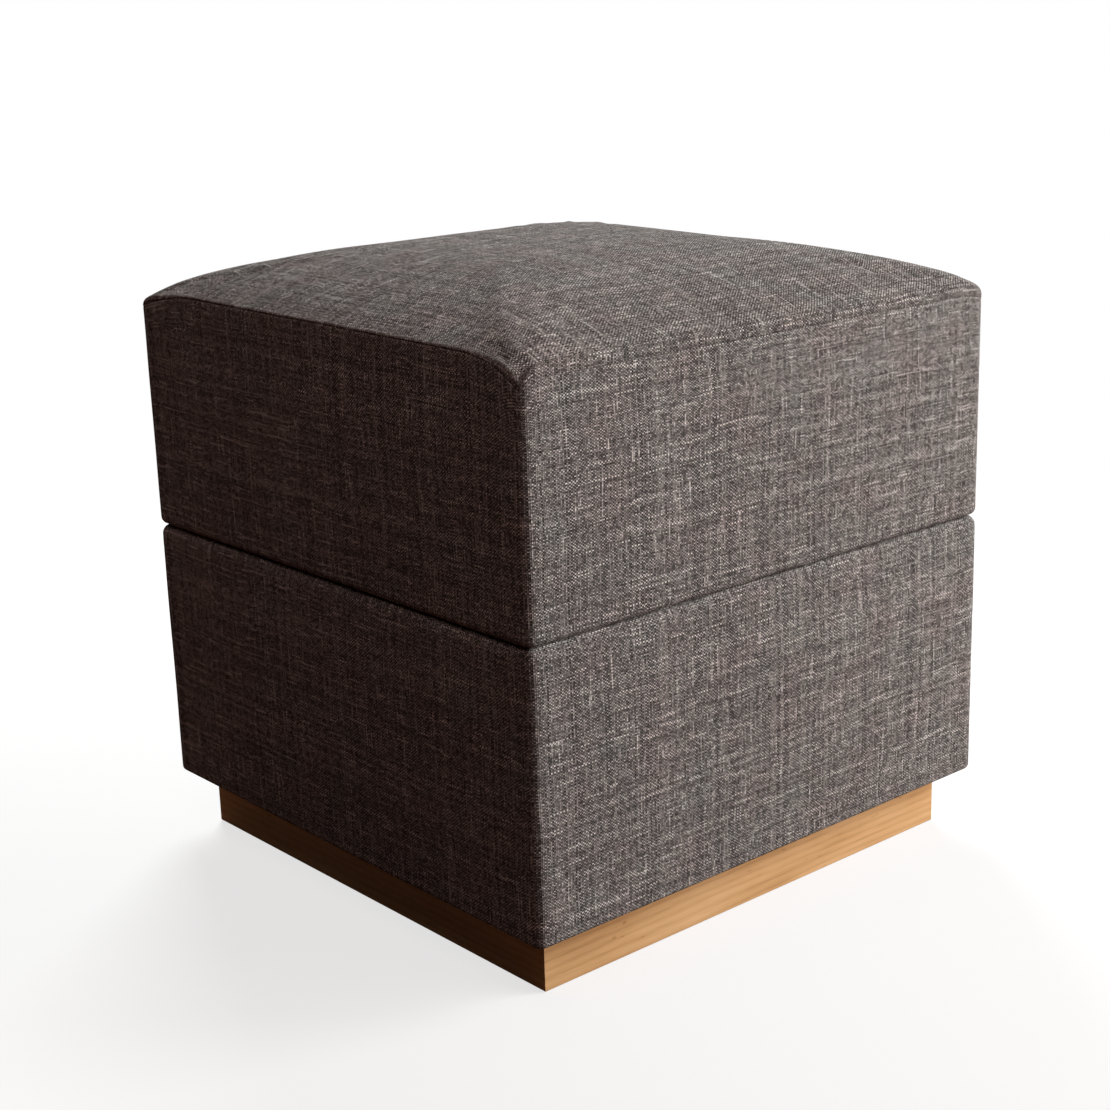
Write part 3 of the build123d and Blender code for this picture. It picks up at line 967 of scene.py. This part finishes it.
# %% [markdown]
# ## The upholstery cloth
# The cloth is a coarse plain weave in a linen look: about eight threads to the centimetre, charcoal and
# brown-grey, with uneven yarn. Where a yarn is thick and pale, a slub, it shows as a short bright dash,
# broken wherever the yarn dips under its neighbour. Plain noise can give the colours but not the dashes, so
# the finish is built as weaving is. Each yarn has a shade of its own, a slow change along its length, and
# slubs.

# %% Spin the yarn
SHADE_STEP = 5.37                         # how far apart in the noise two neighbouring yarns are read
SLUB_STEP = 9.71                          # and the same for their slubs
SLUB_EDGE = 0.06                          # how fast a slub begins and ends


def yarn(tree, number, along, base, spread, slub_length, slub_start, slub_gain):
    """Tone of one yarn: its own shade, a slow change along it, and slubs where it is spun thick."""
    own = add(tree, "ShaderNodeTexWhiteNoise", {"W": number}, noise_dimensions="1D").outputs["Value"]
    slow = speckle(tree, calc(tree, "DIVIDE", along, 4 * slub_length),
                   calc(tree, "MULTIPLY", number, SHADE_STEP))
    thick = speckle(tree, calc(tree, "DIVIDE", along, slub_length),
                    calc(tree, "MULTIPLY", number, SLUB_STEP), z=4.2, detail=0.0)
    slub = between(tree, thick, slub_start, slub_start + SLUB_EDGE, 0.0, slub_gain)
    shade = between(tree, own, 0.0, 1.0, 1 - spread, 1 + spread)
    tone = calc(tree, "MULTIPLY", shade, between(tree, slow, 0.3, 0.7, 0.85, 1.15))
    return calc(tree, "MULTIPLY_ADD", tone, base, slub)


print("yarn ready")

# %% [markdown]
# Next, number the threads in the lengths that the meshes carry. Hand-pulled cloth is never quite straight,
# so slow noise moves the place by a millimetre or so before the threads are counted. A thread is round: it
# stands high along its middle and sinks where it goes under its neighbour.

# %% Lay the threads
WARP_PITCH = 1.4 * MM
WEFT_PITCH = 1.1 * MM
WAVER_SCALE = 13.0
WAVER = 7 * MM


def thread_lengths(tree):
    """Place on the cloth in metres along weft and warp, wavering a little."""
    lengths = add(tree, "ShaderNodeUVMap", uv_map="threads").outputs["UV"]
    waver = clouds(tree, lengths, WAVER_SCALE, detail=2.0)["Color"]
    waver = add(tree, "ShaderNodeVectorMath", {0: waver, 1: (0.5, 0.5, 0.5)}, operation="SUBTRACT").outputs[0]
    waver = add(tree, "ShaderNodeVectorMath", {0: waver, "Scale": WAVER}, operation="SCALE").outputs[0]
    return add(tree, "ShaderNodeVectorMath", {0: lengths, 1: waver}, operation="ADD").outputs[0]


def threads_along(tree, length, pitch):
    """Number of the thread at a length, and its roundness: 1 along its middle, 0 at its sides."""
    place = calc(tree, "DIVIDE", length, pitch)
    roundness = calc(tree, "SINE", calc(tree, "MULTIPLY", calc(tree, "FRACT", place), math.pi))
    return calc(tree, "FLOOR", place), roundness


def thread_height(tree, own, other):
    """Height of a thread that lies on top, sinking towards the next crossing."""
    return calc(tree, "MULTIPLY", own, calc(tree, "MULTIPLY_ADD", other, 0.5, 0.5))


print("cloth of", round(0.01 / WARP_PITCH, 1), "by", round(0.01 / WEFT_PITCH, 1), "threads per centimetre")

# %% [markdown]
# Last, weave them. At each crossing warp or weft lies on top by turns, and every crossing is a little lighter
# or darker by chance. Shade and light are painted into the colour too: the hollows between the threads get
# painted shade, and the crest of each thread gets a painted highlight. The bright weft and the darker warp
# give the heather of the cloth, and a faint tint drifts between warm and cool.

# %% Weave the upholstery
CROSSING_SPREAD = 0.64                    # how much lighter or darker a crossing may be
# Painted shade and light: a thread's colour is darkened in the hollows between threads and lightened on its
# crest.
HOLLOW_PAINTED_SHADE = 0.30                        # share of its tone that a thread keeps in the hollows
CREST_PAINTED_HIGHLIGHT = 1.2                          # and what it gains on its crest
CLOTH_TONES = ((0.0, (0.008, 0.007, 0.007)), (0.5, (0.420, 0.392, 0.378)), (1.0, (0.84, 0.80, 0.77)))
CLOTH_TINTS = ((0.35, (1.0, 0.955, 0.94)), (0.65, (0.955, 0.985, 0.965)))


def weave():
    """Plain weave of uneven yarn."""
    material, tree, shader = finish_of("upholstery weave", roughness=1.0, gloss=0.0)
    lengths = thread_lengths(tree)
    split = add(tree, "ShaderNodeSeparateXYZ", {0: lengths}).outputs
    warp, warp_round = threads_along(tree, split[0], WARP_PITCH)
    weft, weft_round = threads_along(tree, split[1], WEFT_PITCH)
    weft_on_top = calc(tree, "FLOORED_MODULO", calc(tree, "ADD", warp, weft), 2.0)

    def on_top(of_warp, of_weft):
        return add(tree, "ShaderNodeMix", {"Factor": weft_on_top, "A": of_warp, "B": of_weft}).outputs[0]

    warp_tone = yarn(tree, warp, split[1], base=0.14, spread=0.75,
                     slub_length=34 * MM, slub_start=0.70, slub_gain=0.34)
    weft_tone = yarn(tree, weft, split[0], base=0.37, spread=0.38,
                     slub_length=24 * MM, slub_start=0.72, slub_gain=1.05)
    spot = add(tree, "ShaderNodeCombineXYZ", {0: warp, 1: weft}).outputs[0]
    chance = add(tree, "ShaderNodeTexWhiteNoise", {"Vector": spot}, noise_dimensions="2D").outputs["Value"]
    tone = on_top(warp_tone, weft_tone)
    chance = between(tree, chance, 0.0, 1.0, 1 - CROSSING_SPREAD, 1 + CROSSING_SPREAD)
    tone = calc(tree, "MULTIPLY", tone, chance)
    height = on_top(thread_height(tree, warp_round, weft_round), thread_height(tree, weft_round, warp_round))
    # painted shade in the hollows and a painted highlight on the crests, following each thread's height
    shaded = calc(tree, "MULTIPLY", tone, calc(tree, "MULTIPLY_ADD", height, CREST_PAINTED_HIGHLIGHT, HOLLOW_PAINTED_SHADE))

    tint = ramp(tree, clouds(tree, lengths, scale=24.0, detail=3.0)["Fac"], *CLOTH_TINTS)
    tinted = {0: ramp(tree, shaded, *CLOTH_TONES), 1: tint}
    dyed = add(tree, "ShaderNodeVectorMath", tinted, operation="MULTIPLY").outputs[0]
    tree.links.new(dyed, shader.inputs["Base Color"])
    relief(tree, shader, height, distance=0.35 * MM, strength=0.8)
    return material


upholstery = weave()
for piece in (box_cover, band, seat):
    piece.data.materials.append(upholstery)
print(upholstery.name, "has", len(upholstery.node_tree.nodes), "nodes")

# %% [markdown]
# ## The non-woven lining
# Lining and dust cloth is pressed from fibres, not woven. It is nearly black, quite matt, and has the fine
# grid of dents that the heated roller leaves. Voronoi cells that are hardly random give that grid.

# %% Press the lining cloth
FIBRES_PER_METRE = 420.0
DENTS_PER_METRE = 480.0


def non_woven():
    """Dark pressed fibre cloth."""
    material, tree, shader = finish_of("non-woven lining", roughness=0.85, gloss=0.2)
    place = object_place(tree)
    fibres = clouds(tree, place, FIBRES_PER_METRE, detail=4.0)["Fac"]
    dented = {"Vector": place, "Scale": DENTS_PER_METRE, "Randomness": 0.15}
    dents = add(tree, "ShaderNodeTexVoronoi", dented).outputs["Distance"]
    tone = ramp(tree, fibres, (0.3, (0.018, 0.018, 0.019)), (0.7, (0.055, 0.054, 0.056)))
    tree.links.new(tone, shader.inputs["Base Color"])
    relief(tree, shader, dents, distance=0.15 * MM, strength=0.6)
    return material


lining_finish = non_woven()
for piece in (box_lining, lid_lining, dust):
    piece.data.materials.append(lining_finish)
print(lining_finish.name, "on 3 pieces")

# %% [markdown]
# ## The plinth's pine
# The plinth is planed pine with a honey-coloured finish. A board sawn along the trunk shows its growth rings
# as long lines: broad pale spring wood and narrow dark summer wood, wandering slowly. A wave texture is too
# regular for that. So the rings are bands of the height on the board, bent by noise that is stretched twelve
# times along the grain, with fine pores, a slow change of tint and a few dark nicks on top. Boards along X
# and along Y need the same finish turned, so the function takes the direction.

# %% Plane the pine
RINGS_PER_METRE = 150.0
RING_DRIFT = 2.2                          # how many rings the lines wander by
SUMMER_WOOD = 1.05                        # how much the rings darken the wood
PORE_WOOD = 0.6                           # and how much the pores do
PINE_TONES = ((0.0, (0.84, 0.535, 0.272)), (0.45, (0.70, 0.412, 0.188)), (0.9, (0.50, 0.262, 0.104)))


def pine(name, turn):
    """Pine with its grain along X, turned about the upright axis."""
    material, tree, shader = finish_of(name, roughness=0.7, gloss=0.04)
    turned = {"Vector": object_place(tree), "Rotation": (0, 0, turn)}
    place = add(tree, "ShaderNodeMapping", turned).outputs[0]
    up = add(tree, "ShaderNodeSeparateXYZ", {0: place}).outputs[2]
    drift = stretched(tree, place, (2.5, 30.0, 30.0), detail=3.0)
    pores = stretched(tree, place, (55.0, 1500.0, 1500.0), detail=2.0)
    tint = stretched(tree, place, (9.0, 9.0, 45.0), detail=2.0)
    nicks = stretched(tree, place, (90.0, 90.0, 260.0), detail=1.0)
    rings = calc(tree, "MULTIPLY_ADD", drift, RING_DRIFT, calc(tree, "MULTIPLY", up, RINGS_PER_METRE))
    late = calc(tree, "POWER", calc(tree, "PINGPONG", rings, 0.5), 2.0)
    grain = calc(tree, "MULTIPLY_ADD", late, SUMMER_WOOD, calc(tree, "MULTIPLY", pores, PORE_WOOD))
    grain = calc(tree, "ADD", grain, between(tree, tint, 0.3, 0.7, -0.22, 0.2))
    grain = calc(tree, "ADD", grain, between(tree, nicks, 0.72, 0.8, 0.0, 0.5))
    tree.links.new(ramp(tree, grain, *PINE_TONES), shader.inputs["Base Color"])
    relief(tree, shader, pores, distance=0.12 * MM, strength=0.5)
    return material


pine_along_x = pine("pine along x", 0)
pine_along_y = pine("pine along y", math.radians(90))
print("finishes:", pine_along_x.name, "and", pine_along_y.name)

# %% [markdown]
# ## Plywood and steel
# Most of the plywood hides under foam and cloth, so a plain figure in thin layers is enough. The hinges,
# stays and screws show when the lid is open: steel with a bright zinc finish, whose slightly cloudy surface
# comes from noise in the colour and the roughness.

# %% Plywood and zinc-plated steel


def plywood_finish():
    """Pale plywood with its layers lying flat."""
    material, tree, shader = finish_of("pale plywood", roughness=0.75)
    figure = stretched(tree, object_place(tree), (10.0, 10.0, 160.0), detail=4.0)
    colour = ramp(tree, figure, (0.3, (0.66, 0.51, 0.33)), (0.7, (0.52, 0.37, 0.22)))
    tree.links.new(colour, shader.inputs["Base Color"])
    relief(tree, shader, figure, distance=0.1 * MM, strength=0.5)
    return material


def zinc_finish():
    """Cloudy zinc plating."""
    material, tree, shader = finish_of("zinc-plated steel", roughness=0.36)
    cloud = clouds(tree, object_place(tree), scale=90.0, detail=5.0)["Fac"]
    colour = ramp(tree, cloud, (0.3, (0.33, 0.33, 0.34)), (0.7, (0.45, 0.45, 0.445)))
    tree.links.new(colour, shader.inputs["Base Color"])
    shader.inputs["Metallic"].default_value = 1.0
    tree.links.new(between(tree, cloud, 0.3, 0.7, 0.28, 0.45), shader.inputs["Roughness"])
    relief(tree, shader, cloud, distance=0.05 * MM, strength=0.4)
    return material


plywood = plywood_finish()
zinc = zinc_finish()
print("finishes:", plywood.name, "and", zinc.name)

# %% [markdown]
# Now every part of the carpentry that still shows gets its finish. The names in the frame say what each part
# is, so a short rule hands them out. Parts that a soft piece stands for are hidden and need none.

# %% Hand out the finishes


def finish_for(node):
    """Finish of a part of the carpentry, by its name."""
    if node in ("plinth_front", "plinth_back"):
        return pine_along_x
    if node.startswith("plinth_") and node != "plinth_screws":
        return pine_along_y
    if node.endswith(("_wall", "_rail", "_panel", "_deck")):
        return plywood
    return zinc


counts = {}
for node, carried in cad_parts.items():
    if not carried.hide_render:
        chosen = finish_for(node)
        carried.data.materials.clear()
        carried.data.materials.append(chosen)
        counts[chosen.name] = counts.get(chosen.name, 0) + 1
print("finishes handed out:", counts)

# %% [markdown]
# ## Floor and backdrop
# The photograph is a cut-out on white. A bright floor would give that white, but it would also light the
# ottoman from below. So the floor has two faces, told apart by the kind of ray: seen directly it is white
# and keeps a soft shadow near the ottoman, and to light that bounces it is a dim, warm brown, which leaves
# the left side in its deep warm shade.

# %% Lay the floor
FLOOR_REACH = 8.0
SHADOW_REACH = 0.5                        # the shadow shows in full this far from the middle, in metres
WHITE_REACH = 1.3                         # and past this distance the floor is pure white
FLOOR_GLOW = 0.72
FLOOR_GREY = (0.3, 0.3, 0.3, 1)
FLOOR_BOUNCE = (0.125, 0.062, 0.046, 1)
WHITE = (1, 1, 1, 1)


def seen_directly(tree):
    """1 for rays from the camera, or by way of a mirror or glass."""
    path = add(tree, "ShaderNodeLightPath").outputs
    seen = calc(tree, "MAXIMUM", path["Is Camera Ray"], path["Is Glossy Ray"])
    return calc(tree, "MAXIMUM", seen, path["Is Transmission Ray"])


def floor_finish():
    """White with a shadow to the eye, warm and dim to bounced light."""
    material = bpy.data.materials.new("white floor")
    material.use_nodes = True
    tree = material.node_tree
    tree.nodes.clear()
    distance = add(tree, "ShaderNodeVectorMath", {0: object_place(tree)}, operation="LENGTH").outputs["Value"]
    far = between(tree, distance, SHADOW_REACH, WHITE_REACH)
    glow = add(tree, "ShaderNodeEmission", {"Color": WHITE, "Strength": FLOOR_GLOW}).outputs[0]
    white = add(tree, "ShaderNodeEmission", {"Color": WHITE, "Strength": 1.0}).outputs[0]
    matt = add(tree, "ShaderNodeBsdfDiffuse", {"Color": FLOOR_GREY}).outputs[0]
    near = add(tree, "ShaderNodeAddShader", {0: glow, 1: matt}).outputs[0]
    shown = add(tree, "ShaderNodeMixShader", {0: far, 1: near, 2: white}).outputs[0]
    thrown = add(tree, "ShaderNodeBsdfDiffuse", {"Color": FLOOR_BOUNCE}).outputs[0]
    mixed = add(tree, "ShaderNodeMixShader", {0: seen_directly(tree), 1: thrown, 2: shown}).outputs[0]
    add(tree, "ShaderNodeOutputMaterial", {"Surface": mixed})
    return material


floor_corners = [(x * FLOOR_REACH, y * FLOOR_REACH, 0) for x, y in ((-1, -1), (1, -1), (1, 1), (-1, 1))]
floor_mesh = bpy.data.meshes.new("floor")
floor_mesh.from_pydata(floor_corners, [], [(0, 1, 2, 3)])
floor_mesh.materials.append(floor_finish())
floor = new_object("floor", floor_mesh)
print("floor", 2 * FLOOR_REACH, "m wide")

# %% [markdown]
# The world behind the floor is made in the same way: white paper to the eye, and no light of its own.

# %% Hang the backdrop
world = bpy.data.worlds.new("studio")
bpy.context.scene.world = world
world.use_nodes = True
world_tree = world.node_tree
world_tree.nodes.clear()
room = add(world_tree, "ShaderNodeBackground", {"Color": (0, 0, 0, 1), "Strength": 0.0}).outputs[0]
paper = add(world_tree, "ShaderNodeBackground", {"Color": WHITE, "Strength": 1.0}).outputs[0]
sky = add(world_tree, "ShaderNodeMixShader", {0: seen_directly(world_tree), 1: room, 2: paper}).outputs[0]
add(world_tree, "ShaderNodeOutputWorld", {"Surface": sky})
print("white backdrop")

# %% [markdown]
# ## Light
# The light comes from a large window at the front right. A smaller lamp low at the front fills the plinth,
# and one behind lights the seat and keeps the back readable. None of these reaches the left face. A dim,
# warm ceiling lamp high at the left does, and the overhang of the box keeps its light off the plinth. One
# bright sky would be simpler, but it has no dark side. The lamps are set so that a colour renders about as
# it is written.

# %% Hang the lamps
cube_middle = Vector((0, 0, 0.25))


def soft_lamp(name, place, size, power, colour):
    """Square lamp that faces the middle of the cube."""
    data = bpy.data.lights.new(name, "AREA")
    data.size = size
    data.energy = power
    data.color = colour
    lamp = new_object(name, data)
    lamp.location = place
    lamp.rotation_euler = (cube_middle - Vector(place)).to_track_quat("-Z", "Y").to_euler()


soft_lamp("window", (1.9, -1.5, 1.15), size=1.1, power=66, colour=(0.98, 1.0, 1.0))
soft_lamp("low_fill", (0.8, -1.7, 0.65), size=0.7, power=14, colour=(1.0, 0.88, 0.85))
soft_lamp("back_fill", (1.1, 1.8, 1.5), size=1.2, power=84, colour=(0.96, 1.0, 1.0))
soft_lamp("ceiling", (-0.8, -0.4, 2.0), size=1.0, power=6.8, colour=(1.0, 0.70, 0.65))
print("lamps:", [lamp.name for lamp in bpy.data.lights])
